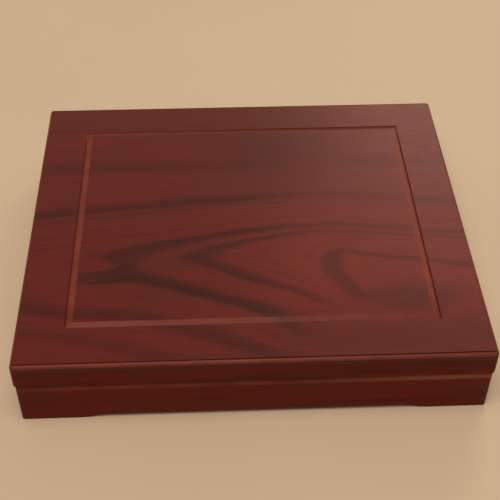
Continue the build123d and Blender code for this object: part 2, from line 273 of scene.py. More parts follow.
def stained(nodes, along_grain, dark, thin_and_painted_light, dark_colour=STAIN_DARK, thin_and_painted_light_colour=STAIN_THIN_AND_HIGHLIGHT, pale=0.0):
    """The Principled inputs of lacquered mahogany, where dark, thin and pale are masks from 0 to 1. Dark is
    late wood with painted shade, and thin is thinner stain with painted highlight and painted light.
    """
    grain = nodes.add("ShaderNodeGroup", {"Along grain": along_grain}, node_tree=FIBRES).outputs
    brown = nodes.blend(nodes.fade(grain["Streaks"], 0.36, 0.66), STAIN, STAIN_BROWN)
    ground = nodes.blend(pale, brown, STAIN_PALE)
    late = nodes.blend(dark, ground, dark_colour)
    fine = nodes.times(nodes.fade(grain["Fibres"], 0.40, 0.80), 0.26)
    fibred = nodes.blend(fine, late, STAIN_DARK)
    edged = nodes.blend(thin_and_painted_light, fibred, thin_and_painted_light_colour)
    pored = nodes.blend(nodes.times(grain["Pores"], 0.6), edged, STAIN_DARK)
    haze = nodes.clouds(nodes.stretched(along_grain, (22, 40, 40)), detail=2.0)
    rough = nodes.total(ROUGHNESS, nodes.times(haze, 0.10), nodes.times(grain["Pores"], 0.12),
                        nodes.times(thin_and_painted_light, 0.35))
    peel = nodes.times(nodes.clouds(nodes.stretched(along_grain, (420, 420, 420)), detail=1.0), 0.30)
    relief = nodes.total(grain["Height"], peel)
    return {"Base Color": pored, "Roughness": rough, "Normal": nodes.bump(relief, 0.00006, 0.55)}


def outside_of(nodes, place, half_width, half_depth):
    """How far a place lies outside a rectangle round the middle of the case. It is negative inside it."""
    x, y = nodes.split(place)[:2]
    over_x = nodes.minus(nodes.maths("ABSOLUTE", x), half_width)
    over_y = nodes.minus(nodes.maths("ABSOLUTE", y), half_depth)
    return nodes.largest(over_x, over_y)


def plain_dark(nodes, along_grain):
    """Broad soft bands of late wood along a straight-grained board."""
    bands = nodes.clouds(nodes.stretched(along_grain, (5, 95, 95)), detail=3.0, roughness=0.6)
    return nodes.times(nodes.fade(bands, 0.42, 0.72), 0.75)


print("stain colours", STAIN[:3], STAIN_DARK[:3])

# %% [markdown]
# ## Mahogany: the figure of the lid
# The lid's face was cut nearly along the tree's rings, so they show as nested pointed arches that open to
# the right. An image would copy one board; a formula draws the same growth. Every place gets one number,
# the arch that passes through it: X less a distance that grows straight in front of the board's middle
# line and as a square behind it. Rings are then bands of that number, and noise along the fibres frays
# their edges.

# %% Figure of the lid
# All sizes in this cell are millimetres from the middle of the lid, to the right and to the back.
ARCH_STEPS = 60.0            # the arch number at the right end of the two ramps below
ARCH_ORIGIN = 163.7          # where the arches begin
ARCH_AXIS = -40.5            # the arches' middle line
ARCH_SLANT = 2.22            # in front of it, an arch runs right by this for each millimetre
ARCH_CURVE = 6.82            # behind it, an arch runs right by the distance's square over this
FALL_RIGHT = (50.0, 30.0, -0.235)      # the line bends forwards here: where, how softly, how steeply
FALL_LEFT = (16.0, 20.0, -0.04)
FRAY_ALONG, FRAY_ACROSS, SWAY = 13.0, 1.8, 3.0       # how far noise pulls the rings out of line
RINGS_BEHIND = [(0.0, 0.0), (13.35, 0.0), (13.8, 0.6), (14.15, 0.85), (14.45, 0.8), (14.8, 0.1),
                (15.1, 0.1), (15.7, 0.75), (16.6, 0.9), (17.0, 0.15), (18.3, 0.05), (18.7, 0.42),
                (19.1, 0.08), (20.4, 0.08), (20.7, 0.38), (21.0, 0.05), (23.4, 0.05), (24.0, 0.4),
                (25.0, 0.2), (25.7, 0.75), (27.2, 0.6), (28.3, 0.1), (36.4, 0.1), (38.0, 0.5),
                (40.6, 0.45), (42.6, 0.1), (55.8, 0.08), (56.6, 0.4), (58.2, 0.1)]
RINGS_BEFORE = [(0.0, 0.0), (13.55, 0.0), (13.9, 0.8), (14.3, 0.9), (14.5, 0.1), (15.5, 0.05),
                (15.9, 0.8), (16.15, 1.0), (16.4, 1.0), (16.62, 0.15), (17.8, 0.05), (18.1, 0.6),
                (18.6, 0.75), (19.0, 0.1), (19.7, 0.1), (19.95, 0.5), (20.3, 0.5), (20.7, 0.1),
                (22.5, 0.2), (27.0, 0.1)]
BENDS = [((-98.0, -44.5), (12.0, 5.0), -28.0), ((-108.0, -58.0), (18.0, 4.6), 29.0),
         ((-150.0, -84.0), (42.0, 20.0), 50.0), ((10.0, -64.0), (30.0, 10.0), 9.0),
         ((93.3, -69.5), (25.0, 13.6), 115.0), ((32.0, -110.0), (20.0, 10.0), 24.0),
         ((-130.0, 62.0), (55.0, 22.0), 190.0)]      # centre, spread and shift
FAINT_TIP = (-128, -56), (15, 11)      # centre and spread
DARK_PATCH = (104, -81.5), (30, 12.5)
SHADES = [((88, -114), (46, 9), 0.30), ((22, 78), (46, 36), 0.40),
          ((-70, -62), (48, 28), 0.24)]              # centre, spread and darkness of each
HOOK_TOP, HOOK_LEFT, HOOK_END = -35.0, (54.2, -45.0), -86.0
HOOK_BOW, HOOK_TURN = 0.0135, 0.075    # how fast it curves away below and above its leftmost place
ARM_START, ARM_SLOPE = 55.8, -0.19     # the faint line that runs right from the hook's top


def ring_ramp(nodes, arch, rings):
    ramp = nodes.add("ShaderNodeValToRGB", {"Fac": nodes.times(arch, 1 / ARCH_STEPS)})
    stops = ramp.color_ramp.elements
    while len(stops) < len(rings):
        stops.new(0.5)
    for stop, (arch_number, darkness) in zip(stops, rings):
        stop.position = arch_number / ARCH_STEPS
        stop.color = colour(darkness, darkness, darkness)
    return ramp.outputs["Color"]


def mound(nodes, x, y, centre, spread):
    """1 at the centre and fading out over the spread, as a bell does."""
    from_x = nodes.times(nodes.minus(x, centre[0]), 1 / spread[0])
    from_y = nodes.times(nodes.minus(y, centre[1]), 1 / spread[1])
    squared = nodes.total(nodes.times(from_x, from_x), nodes.times(from_y, from_y))
    return nodes.maths("EXPONENT", nodes.times(squared, -0.5))


def fall(nodes, distance, softness, slope):
    """0 before the place that distance is measured from, and a slope after it."""
    return nodes.times(nodes.maths("SMOOTH_MAX", distance, 0.0, softness), slope)


def arches(nodes, x, y):
    """The number of the arch that passes here, and how far this is in front of the arches' middle line."""
    start, softness, slope = FALL_RIGHT
    falls = fall(nodes, nodes.minus(x, start), softness, slope)
    start, softness, slope = FALL_LEFT
    falls = nodes.total(falls, fall(nodes, nodes.minus(start, x), softness, slope))
    falls = nodes.times(falls, nodes.fade(y, 90.0, -25.0))
    before = nodes.minus(nodes.total(falls, ARCH_AXIS), y)
    straight = fall(nodes, before, 6.0, ARCH_SLANT)
    behind = nodes.maths("MINIMUM", before, 0.0)
    square = nodes.times(nodes.times(behind, behind), 1 / ARCH_CURVE)
    bends = [nodes.times(mound(nodes, x, y, centre, spread), shift) for centre, spread, shift in BENDS]
    arch = nodes.total(nodes.minus(nodes.minus(x, straight), square), *bends)
    number = nodes.maths("SQRT", nodes.largest(nodes.minus(ARCH_ORIGIN, arch), 0.0))
    return number, before


def hook(nodes, true_x, x, y):
    """A curved foot on the right, open to the front, and the faint arm that runs right from its top."""
    drop = nodes.minus(y, HOOK_LEFT[1])
    above = nodes.largest(drop, 0.0)
    curve = nodes.total(nodes.times(nodes.times(drop, drop), HOOK_BOW), HOOK_LEFT[0],
                        nodes.times(nodes.times(above, above), HOOK_TURN))
    foot = nodes.fade(nodes.maths("ABSOLUTE", nodes.minus(x, curve)), 10.5, 3.0)
    foot = nodes.times(foot, nodes.band(y, HOOK_END - 5.0, HOOK_END + 7.0, HOOK_TOP - 3.0, HOOK_TOP + 2.5))
    line = nodes.total(nodes.times(nodes.minus(true_x, ARM_START), ARM_SLOPE), HOOK_TOP - 1.5)
    arm = nodes.fade(nodes.maths("ABSOLUTE", nodes.minus(y, line)), 4.0, 1.0)
    arm = nodes.times(arm, nodes.fade(true_x, 54.0, 68.0))
    return nodes.largest(nodes.times(foot, 0.58), nodes.times(arm, 0.5))


def lid_figure(nodes, place):
    """The mask of late wood on the lid's top: its arches, its hook, its dark patch and broad shades."""
    in_mm = nodes.stretched(place, (1000, 1000, 1000))
    true_x, true_y = nodes.split(in_mm)[:2]
    fray = nodes.clouds(nodes.stretched(in_mm, (0.06, 1.5, 0)), detail=3.0, roughness=0.65)
    fray = nodes.minus(fray, 0.5)
    sway = nodes.minus(nodes.clouds(nodes.stretched(in_mm, (0.03, 0.09, 0)), detail=1.0), 0.5)
    x = nodes.total(true_x, nodes.times(fray, FRAY_ALONG))
    y = nodes.total(true_y, nodes.times(sway, SWAY), nodes.times(fray, FRAY_ACROSS))
    number, before = arches(nodes, x, y)

    rings = nodes.blend(nodes.fade(before, -1.5, 2.5), ring_ramp(nodes, number, RINGS_BEHIND),
                        ring_ramp(nodes, number, RINGS_BEFORE))
    front_right = nodes.times(nodes.fade(true_x, 0.0, 65.0), nodes.fade(y, -78.0, -90.0))
    rings = nodes.dimmed(rings, front_right, 0.75)
    rings = nodes.dimmed(rings, mound(nodes, x, y, *FAINT_TIP), 0.75)
    rings = nodes.dimmed(rings, nodes.fade(true_x, -5.0, 55.0), 0.4)
    rings = nodes.dimmed(rings, nodes.fade(y, -5.0, -35.0), 0.10)
    flow = nodes.join(nodes.times(number, 3.6), nodes.times(x, 0.018), 0.0)
    streaks = nodes.times(nodes.fade(nodes.clouds(flow, detail=3.0, roughness=0.65), 0.44, 0.70), 0.38)
    patch = nodes.times(nodes.fade(mound(nodes, x, y, *DARK_PATCH), 0.25, 0.95), 0.5)
    shades = [nodes.times(mound(nodes, x, y, centre, spread), share) for centre, spread, share in SHADES]
    return nodes.largest(rings, hook(nodes, true_x, x, y), patch, *shades, streaks)


print("rings behind and in front of the middle line:", len(RINGS_BEHIND), len(RINGS_BEFORE))

# %% [markdown]
# ## The lid's top panel
# The routed rectangle has a steep outer wall and a wide slope up to the raised field. Cut across the fibres,
# the slope takes less stain and shows orange. A painted shade, partly pooled stain, darkens the corner under
# the wall, the step round the edge and the side below the rounded edge. The rounded edge has thinner stain
# with a painted highlight, and the groove's back wall, which stands in shade, is lightened with painted
# light. All follow the panel's outline, so two rectangles measure them. Towards the right the lid is a
# little paler.

# %% Lid top finish
GROOVE_MARGIN, GROOVE_FLOOR, GROOVE_SLOPE = 30.8 * MM, 0.5 * MM, 4.3 * MM
LID_STEP = 2.3 * MM                     # from the panel's side to the step
GROOVE_FRONT = -90 * MM, -94 * MM       # the front side of the groove starts and is full here
GROOVE_BACK = 88 * MM, 96 * MM
# shares of thinner stain on the slope and on the rounded edge, where it is also a painted highlight, and of
# random patches
SLOPE_THIN, ROUND_THIN_AND_HIGHLIGHT, WORN_PATCHES = 0.34, 0.40, 0.30
panel_low, panel_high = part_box("lid_top_panel")
panel_half = (panel_high - panel_low) / 2


def lid_masks(nodes, place):
    """Masks by name: the groove's slope and corner, the step, the rounded edge and the side below it."""
    groove = outside_of(nodes, place, panel_half.x - GROOVE_MARGIN, panel_half.y - GROOVE_MARGIN)
    edge = outside_of(nodes, place, panel_half.x - LID_STEP, panel_half.y - LID_STEP)
    height = nodes.split(place)[2]
    rounded = nodes.fade(edge, 0.3 * MM, 1.0 * MM)
    top = panel_high.z
    slope_end = -GROOVE_FLOOR - GROOVE_SLOPE - 0.5 * MM
    return {
        "slope": nodes.band(groove, slope_end, -GROOVE_SLOPE, -1.0 * MM, -0.3 * MM),
        "corner": nodes.band(groove, -0.7 * MM, -0.3 * MM, 0.1 * MM, 0.3 * MM),
        "step": nodes.band(edge, -0.3 * MM, -0.05 * MM, 0.2 * MM, 0.5 * MM),
        "round": nodes.times(rounded, nodes.fade(height, top - 2.9 * MM, top - 2.1 * MM)),
        "side": nodes.times(rounded, nodes.fade(height, top - 2.3 * MM, top - 3.1 * MM)),
    }


def lid_top(nodes, place):
    masks = lid_masks(nodes, place)
    x, y = nodes.split(place)[:2]
    at_back = nodes.fade(y, *GROOVE_BACK)
    front_right = nodes.times(nodes.fade(x, -40 * MM, 40 * MM), nodes.fade(y, *GROOVE_FRONT))
    patchy = nodes.fade(nodes.clouds(nodes.stretched(place, (60, 60, 60)), detail=3.0), 0.3, 0.65)
    patches = nodes.times(patchy, WORN_PATCHES)
    # the rounded edge: thinner stain with a painted highlight
    worn_and_highlight = nodes.times(masks["round"], nodes.total(ROUND_THIN_AND_HIGHLIGHT, patches))
    cut = nodes.total(SLOPE_THIN, patches, nodes.times(front_right, -0.30))
    cut = nodes.dimmed(nodes.times(masks["slope"], cut), at_back, 0.65)
    # painted light: the groove's back wall stands in shade and is lightened
    lit_wall = nodes.times(nodes.times(masks["corner"], at_back), 0.6)
    thin_and_painted_light = nodes.largest(worn_and_highlight, cut, lit_wall)
    # painted shade, partly pooled stain, in the groove's corner (less at the back), under the step and on
    # the side below the rounded edge
    in_corner = nodes.times(masks["corner"], nodes.total(0.35, nodes.times(at_back, -0.30)))
    pooled_and_shaded = nodes.largest(in_corner, nodes.times(masks["step"], 0.75), nodes.times(masks["side"], 0.9))
    figure = nodes.dimmed(lid_figure(nodes, place), thin_and_painted_light, 0.6)
    from_left = nodes.minus(x, nodes.times(nodes.fade(y, -15 * MM, 45 * MM), 50 * MM))
    pale = nodes.times(nodes.fade(from_left, -55 * MM, 85 * MM), nodes.fade(y, -122 * MM, -60 * MM))
    dull = nodes.times(masks["slope"], nodes.times(nodes.fade(y, -84 * MM, -76 * MM), 0.4))
    # the dark colour turns to painted shade on the side below the rounded edge, and the thin colour to
    # painted light on the groove's back wall
    return stained(nodes, place, nodes.largest(figure, pooled_and_shaded), thin_and_painted_light,
                   dark_colour=nodes.blend(masks["side"], STAIN_DARK, SHADE_UNDER_EDGE),
                   thin_and_painted_light_colour=nodes.blend(nodes.largest(dull, at_back), STAIN_THIN_AND_HIGHLIGHT, STAIN_DULL_AND_HIGHLIGHT),
                   pale=nodes.times(pale, 0.55))


lid_top_finish = finished("mahogany_lid_top", lid_top, **LACQUER)

# %% [markdown]
# ## The rails
# The lid's and the base's rails are straight-grained strips with the fibres along each strip, mitred at the
# corners. The front and back ones lie along X and the side ones along Y. The base's rim and the corners are
# rounded over, and a line of painted highlight runs along the rounded rim, stronger towards the right.

# %% Rail finishes
RIM_ROUND = 2.5 * MM
HIGHLIGHT_LINE = 6.2 * MM, 4.2 * MM          # below the base's rim, where the painted highlight starts and where it is full
RIM_HIGHLIGHT, RIGHT_HIGHLIGHT = 0.18, 0.5            # shares of painted highlight, along the rim and more towards the right
rim_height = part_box("base_front_rail")[1].z


def rails(along_y):
    def build(nodes, place):
        x, y, z = nodes.split(place)
        along = nodes.join(y, x, z) if along_y else place
        outline = outside_of(nodes, place, panel_half.x, panel_half.y)
        outer = nodes.fade(outline, -RIM_ROUND - 1.2 * MM, -RIM_ROUND + 0.8 * MM)
        starts, full = (rim_height - drop for drop in HIGHLIGHT_LINE)
        # a painted highlight along the base's rounded rim, stronger towards the right
        rim = nodes.times(nodes.band(z, starts, full, rim_height + 0.1 * MM, rim_height + 0.2 * MM), outer)
        patchy = nodes.fade(nodes.clouds(nodes.stretched(place, (50, 50, 50)), detail=3.0), 0.3, 0.65)
        brighter_right = nodes.times(nodes.fade(x, 20 * MM, 120 * MM), RIGHT_HIGHLIGHT)
        thin_and_painted_light = nodes.times(rim, nodes.total(RIM_HIGHLIGHT, nodes.times(patchy, RIM_HIGHLIGHT), brighter_right))
        return stained(nodes, along, plain_dark(nodes, along), thin_and_painted_light, thin_and_painted_light_colour=STAIN_DULL_AND_HIGHLIGHT)
    return build


rail_finish = {
    "front": finished("mahogany_along_x", rails(along_y=False), **RAIL_LACQUER),
    "left": finished("mahogany_along_y", rails(along_y=True), **RAIL_LACQUER),
}
rail_finish["back"], rail_finish["right"] = rail_finish["front"], rail_finish["left"]

# %% [markdown]
# ## Dressing the CAD pieces
# A CAD piece keeps its mesh and only gets a finish in its material slots. A small function does that.

# %% Dress the wood
def dress(node, material):
    piece = frame["nodes"][node]
    piece.data.materials.clear()
    piece.data.materials.append(material)


dress("lid_top_panel", lid_top_finish)
for part in ("base", "lid", "tray"):
    for side, finish in rail_finish.items():
        dress(f"{part}_{side}_rail", finish)
print("dressed the lid's top and", 3 * len(rail_finish), "rails")

# %% [markdown]
# ## Fibreboard, brass and nickel
# The bottom panel, the tray's bottom and the lid's lining board are thin fibreboard: pressed fibres with
# no direction, so the noise isn't stretched. The hinges and screws are polished brass with fine rubbing
# marks along them, a little dulled, and the catch's magnets are nickel plated.

# %% Board and metals
def fibreboard(nodes, place):
    matted = nodes.clouds(nodes.stretched(place, (900, 900, 900)), detail=4.0, roughness=0.7)
    specks = nodes.fade(nodes.clouds(nodes.stretched(place, (2200, 2200, 2200)), detail=1.0), 0.62, 0.72)
    cloudy = nodes.fade(nodes.clouds(nodes.stretched(place, (35, 35, 35)), detail=3.0), 0.3, 0.7)
    ground = nodes.blend(matted, colour(0.36, 0.235, 0.13), colour(0.50, 0.35, 0.21))
    toned = nodes.blend(nodes.times(cloudy, 0.35), ground, colour(0.33, 0.21, 0.12))
    speckled = nodes.blend(nodes.times(specks, 0.6), toned, colour(0.17, 0.10, 0.05))
    return {"Base Color": speckled, "Roughness": nodes.total(0.72, nodes.times(matted, 0.15)),
            "Normal": nodes.bump(matted, 0.0001, 0.6)}


def metal(bright, dull, smooth):
    def build(nodes, place):
        rubs = nodes.clouds(nodes.stretched(place, (40, 1500, 1500)), detail=1.0)
        tarnish = nodes.fade(nodes.clouds(nodes.stretched(place, (110, 110, 110)), detail=2.0), 0.40, 0.80)
        shade = nodes.blend(nodes.times(tarnish, 0.45), bright, dull)
        rough = nodes.total(smooth, nodes.times(rubs, 0.08), nodes.times(tarnish, 0.12))
        return {"Base Color": shade, "Roughness": rough, "Normal": nodes.bump(rubs, 0.00001, 0.15)}
    return build


board_finish = finished("fibreboard", fibreboard)
brass = metal(colour(0.82, 0.60, 0.27), colour(0.52, 0.35, 0.15), smooth=0.18)
brass_finish = finished("brass", brass, Metallic=1.0)
nickel = metal(colour(0.66, 0.65, 0.62), colour(0.48, 0.47, 0.44), smooth=0.20)
nickel_finish = finished("nickel", nickel, Metallic=1.0)

for node in ("base_bottom_panel", "tray_bottom_board", "lid_lining_board"):
    dress(node, board_finish)
for node in ("base_magnets", "lid_magnets"):
    dress(node, nickel_finish)
for node in ("base_hinge_screws", "lid_hinge_screws"):
    dress(node, brass_finish)
for side in ("left", "right"):
    for piece in ("base_leaf", "lid_leaf", "pin"):
        dress(f"{side}_hinge_{piece}", brass_finish)
print("dressed the boards and the metal pieces")

# %% [markdown]
# ## Cloth finishes
# Velvet looks dark face on and pale at a glance, because its pile stands up, so its shader gets sheen,
# and slow noise gives the brushed patches that a hand leaves. Felt is matted with no thread at all. Satin
# shows long floats of smooth thread, and the ribbon is a closer satin with a corded selvedge on both
# sides.

# %% Cloth finishes
def pile(deep, brushed):
    """Velvet: tufts too fine to model, with patches where the pile lies another way."""
    def build(nodes, place):
        tufts = nodes.clouds(nodes.stretched(place, (3800, 3800, 3800)), detail=2.0)
        hand = nodes.clouds(nodes.stretched(place, (34, 22, 34)), detail=3.0, roughness=0.6)
        shade = nodes.blend(nodes.times(nodes.fade(hand, 0.40, 0.72), 0.4), deep, brushed)
        shade = nodes.blend(nodes.times(nodes.fade(tufts, 0.40, 0.75), 0.35), shade, brushed)
        relief = nodes.total(tufts, nodes.times(hand, 0.4))
        return {"Base Color": shade, "Roughness": nodes.total(0.82, nodes.times(tufts, 0.15)),
                "Normal": nodes.bump(relief, 0.00025, 0.7)}
    return build


def felted(nodes, place):
    matted = nodes.clouds(nodes.stretched(place, (1300, 1300, 1300)), detail=4.0, roughness=0.7)
    hairs = nodes.clouds(nodes.stretched(place, (260, 2400, 2400), turn=(0, 0, 0.7)), detail=2.0)
    shade = nodes.blend(matted, colour(0.018, 0.062, 0.034), colour(0.040, 0.125, 0.070))
    shade = nodes.blend(nodes.times(nodes.fade(hairs, 0.55, 0.8), 0.4), shade, colour(0.07, 0.18, 0.11))
    return {"Base Color": shade, "Roughness": nodes.total(0.85, nodes.times(matted, 0.1)),
            "Normal": nodes.bump(matted, 0.0003, 0.8)}


def satin(nodes, place):
    """Cream satin: floats of thread 0.3 mm apart lie along X, so the cloth has a soft shine across them."""
    threads = nodes.clouds(nodes.stretched(place, (260, 3300, 3300)), detail=2.0)
    slubs = nodes.fade(nodes.clouds(nodes.stretched(place, (45, 900, 900)), detail=1.0), 0.62, 0.78)
    cloudy = nodes.clouds(nodes.stretched(place, (18, 18, 18)), detail=2.0)
    shade = nodes.blend(cloudy, colour(0.86, 0.77, 0.60), colour(0.92, 0.85, 0.70))
    shade = nodes.blend(nodes.times(slubs, 0.16), shade, colour(0.72, 0.62, 0.46))
    rough = nodes.total(0.27, nodes.times(threads, 0.14))
    return {"Base Color": shade, "Roughness": rough, "Normal": nodes.bump(threads, 0.00005, 0.45)}


VELVET_SHEEN = {"Sheen Weight": 0.45, "Sheen Roughness": 0.34, "Sheen Tint": colour(0.22, 0.32, 0.70),
                "Specular IOR Level": 0.1}
velvet = pile(deep=colour(0.0060, 0.0105, 0.042), brushed=colour(0.014, 0.026, 0.095))
velvet_finish = finished("velvet", velvet, **VELVET_SHEEN)
felt_finish = finished("felt", felted, **{"Sheen Weight": 0.3, "Sheen Roughness": 0.5})
satin_finish = finished("satin", satin, **{"Sheen Weight": 0.25, "Sheen Roughness": 0.4})

# %% [markdown]
# ## Making a soft piece
# Each soft piece is shaped in a bmesh with the same few operators, then becomes an object whose place is
# in its mesh. It rides on the body of the CAD piece that it stands for, and the plain CAD solid is
# hidden.

# %% Piece helper
body_of = {node: body for body, nodes in frame["record"]["behaviour"]["bodies"].items() for node in nodes}


def make_piece(name, shape, material, replaced):
    """Turn a bmesh into a shown object in place of some CAD nodes."""
    mesh = bpy.data.meshes.new(name)
    for face in shape.faces:
        face.smooth = True
    shape.to_mesh(mesh)
    shape.free()
    mesh.materials.append(material)
    piece = bpy.data.objects.new(name, mesh)
    bpy.context.scene.collection.objects.link(piece)
    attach(piece, body_of[replaced[0]])
    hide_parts(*replaced)
    print(name, len(mesh.polygons), "faces, rides on", body_of[replaced[0]])
    return piece


def modifier(piece, kind, **settings):
    made = piece.modifiers.new(kind.lower(), kind)
    for name, value in settings.items():
        setattr(made, name, value)


def middle_and_size(node):
    low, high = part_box(node)
    return (low + high) / 2, high - low


def cloth_grid(node, cell):
    """A level grid over a node's plan, at its lower face, with cells about cell wide."""
    middle, size = middle_and_size(node)
    shape = bmesh.new()
    across, deep = round(size.x / cell), round(size.y / cell)
    bmesh.ops.create_grid(shape, x_segments=across, y_segments=deep, size=0.5,
                          matrix=Matrix.Diagonal((size.x, size.y, 1, 1)))
    bmesh.ops.translate(shape, verts=shape.verts, vec=(middle.x, middle.y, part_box(node)[0].z))
    return shape


def thicken(shape, height):
    """Pull a level sheet up into a closed slab."""
    pulled = bmesh.ops.extrude_face_region(shape, geom=shape.faces[:], use_keep_orig=True)
    moved = [item for item in pulled["geom"] if isinstance(item, bmesh.types.BMVert)]
    bmesh.ops.translate(shape, verts=moved, vec=(0, 0, height))
    bmesh.ops.recalc_face_normals(shape, faces=shape.faces[:])
    return moved


def ease(shape, edges, width, segments=2):
    bmesh.ops.bevel(shape, geom=edges, offset=width, offset_type="OFFSET", segments=segments,
                    profile=0.5, affect="EDGES", material=-1, clamp_overlap=True)


def sharp_edges(shape):
    """Edges where two faces turn by more than 1 radian."""
    return [edge for edge in shape.edges if len(edge.link_faces) == 2 and edge.calc_face_angle(0.0) > 1.0]


def span(edge):
    """How far an edge reaches along X, Y and Z."""
    start, end = (vert.co for vert in edge.verts)
    return Vector([abs(reach) for reach in end - start])


print("bodies:", sorted(set(body_of.values())))

# %% [markdown]
# ## Linings and felt
# The base's floor, the tray's floor and the underside are sheets glued down flat. A flat box would look
# like card, so each is a grid of cells with the slight unevenness of glued cloth, pulled up to its
# thickness, and its cut edge is eased.

# %% Linings
UNEVEN = 0.10 * MM           # depth of the hollows in glued cloth
HOLLOWS = 55                 # how many of them there are, roughly, in a metre
LINING_CELL = 7 * MM


def glued_sheet(name, node, material, shown_side, seed):
    """A sheet whose upper (1) or lower (-1) side shows."""
    middle, size = middle_and_size(node)
    shape = cloth_grid(node, LINING_CELL)
    upper = thicken(shape, size.z)
    shown = upper if shown_side > 0 else [vert for vert in shape.verts if vert.co.z < middle.z]
    for vert in shown:
        rise = noise.noise(Vector((vert.co.x * HOLLOWS, vert.co.y * HOLLOWS, seed)))
        vert.co.z -= shown_side * UNEVEN * (0.5 + 0.5 * rise)
    ease(shape, sharp_edges(shape), 0.3 * size.z)
    sheet = make_piece(name, shape, material, [node])
    return sheet, (size.x, size.y)


floor_sheet, floor_flat = glued_sheet("velvet_floor_lining", "floor_lining", velvet_finish, 1, 1.7)
tray_sheet, tray_flat = glued_sheet("velvet_tray_lining", "tray_floor_lining", velvet_finish,
                                    1, 5.1)
felt_sheet, felt_flat = glued_sheet("felt_underside", "underside_felt", felt_finish, -1, 9.4)

# %% [markdown]
# ## Ledge strips
# Four thin padded strips covered in velvet stand against the walls and carry the tray. Covering cloth never
# shows a sharp arris, so each strip is a block whose edges are rounded, cut across every few millimetres.

# %% Ledge strips
LEDGE_ROUND = 0.9 * MM
LEDGE_CELL = 9 * MM


def padded_strip(name, node):
    middle, size = middle_and_size(node)
    shape = bmesh.new()
    bmesh.ops.create_cube(shape, size=1.0, matrix=Matrix.Translation(middle) @ Matrix.Diagonal((*size, 1)))
    ease(shape, sharp_edges(shape), LEDGE_ROUND, segments=3)
    long_way = 0 if size.x > size.y else 1
    along = [edge for edge in shape.edges if span(edge)[long_way] > 10 * MM]
    cuts = round(size[long_way] / LEDGE_CELL)
    bmesh.ops.subdivide_edges(shape, edges=along, cuts=cuts, use_grid_fill=True)
    strip = make_piece(name, shape, velvet_finish, [node])


for side in ("front", "back", "left", "right"):
    padded_strip(f"velvet_{side}_ledge", f"{side}_ledge_strip")

# %% [markdown]
# ## The tray's insert
# The insert is a slab of foam covered in velvet, with twenty square openings for coin capsules. It starts
# as a grid whose lines are moved to the openings' edges. The openings' faces are deleted, the rest is
# pulled up to the slab's height, and the uprights and the upper edges are rounded, as velvet goes over
# foam.

# %% Insert
COLUMNS, ROWS = 5, 4
COMPARTMENT = 46 * MM
COMPARTMENT_CORNER = 2.0 * MM
VELVET_TURN = 1.3 * MM


def grid_lines(length, count, opening):
    """Places of the openings' edges along one direction, with the slab's two ends."""
    gap = (length - count * opening) / (count + 1)
    lines = [-length / 2]
    for number in range(count):
        start = -length / 2 + gap + number * (opening + gap)
        lines += [start, start + opening]
    return lines + [length / 2]


def velvet_insert():
    low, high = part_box("coin_tray_insert")
    size = high - low
    columns = grid_lines(size.x, COLUMNS, COMPARTMENT)
    rows = grid_lines(size.y, ROWS, COMPARTMENT)
    across, deep = len(columns) - 1, len(rows) - 1
    shape = bmesh.new()
    bmesh.ops.create_grid(shape, x_segments=across, y_segments=deep, size=0.5)
    places = {vert: (round((vert.co.x + 0.5) * across), round((vert.co.y + 0.5) * deep))
              for vert in shape.verts}
    openings = []
    for face in shape.faces:
        column, row = (min(places[vert][axis] for vert in face.verts) for axis in (0, 1))
        if column % 2 and row % 2:
            openings.append(face)
    for vert, (column, row) in places.items():
        vert.co = (columns[column], rows[row], low.z)
    bmesh.ops.delete(shape, geom=openings, context="FACES")
    thicken(shape, size.z)
    uprights = [edge for edge in sharp_edges(shape) if span(edge).z > 1 * MM]
    inside = [edge for edge in uprights if abs(edge.verts[0].co.x) < size.x / 2 - 1 * MM]
    ease(shape, inside, COMPARTMENT_CORNER, segments=4)
    top = high.z - 0.01 * MM
    rims = [edge for edge in sharp_edges(shape) if all(vert.co.z > top for vert in edge.verts)]
    ease(shape, rims, VELVET_TURN, segments=4)
    insert = make_piece("velvet_coin_insert", shape, velvet_finish, ["coin_tray_insert"])
    modifier(insert, "WEIGHTED_NORMAL", keep_sharp=False)


velvet_insert()

# %% [markdown]
# ## The lid's satin pad
# Satin is drawn over thin wadding and tucked in round its edge, where it gathers in small puckers that a
# hand would never draw. Cloth simulation finds them: the slab starts crowned, its back and rim stay
# fixed, and the wadding is a weak pull back to the start. The satin is cut a little too large at the rim
# and a little too small in the middle, so it buckles at the rim into folds that point inwards and lies
# smooth in the middle. Blender raises a pin's weight to its fourth power, so the weak pull is a weight
# well below one.

# %% Satin pad
PAD_CELL = 3.5 * MM
PAD_RIM = 0.7 * MM           # thickness at the tucked edge
PAD_ROOM = 0.55 * MM         # left under the crown for the puckers
PAD_FULLNESS = 9.0 * MM      # how fast the crown rises from the rim
PUCKER_REACH = 27.0 * MM     # the puckers run out this far from the rim
PUCKER_CUT = -0.055          # the satin at the rim is cut 5.5% too large
MIDDLE_CUT = 0.010           # and in the middle 1% too small, which draws it tight
WADDING_PULL = 0.3
FIRST_RIPPLE = 0.25 * MM     # a flat sheet would never choose a side to buckle to
RIPPLES_ALONG, RIPPLES_INWARD = 150, 22      # in a metre, along the rim and away from it
PAD_FRAMES = 20
SATIN_CLOTH = {"quality": 8, "mass": 0.15, "tension_stiffness": 20, "compression_stiffness": 20,
               "shear_stiffness": 5, "bending_stiffness": 5.0, "shrink_min": PUCKER_CUT,
               "shrink_max": MIDDLE_CUT, "pin_stiffness": 1.0}


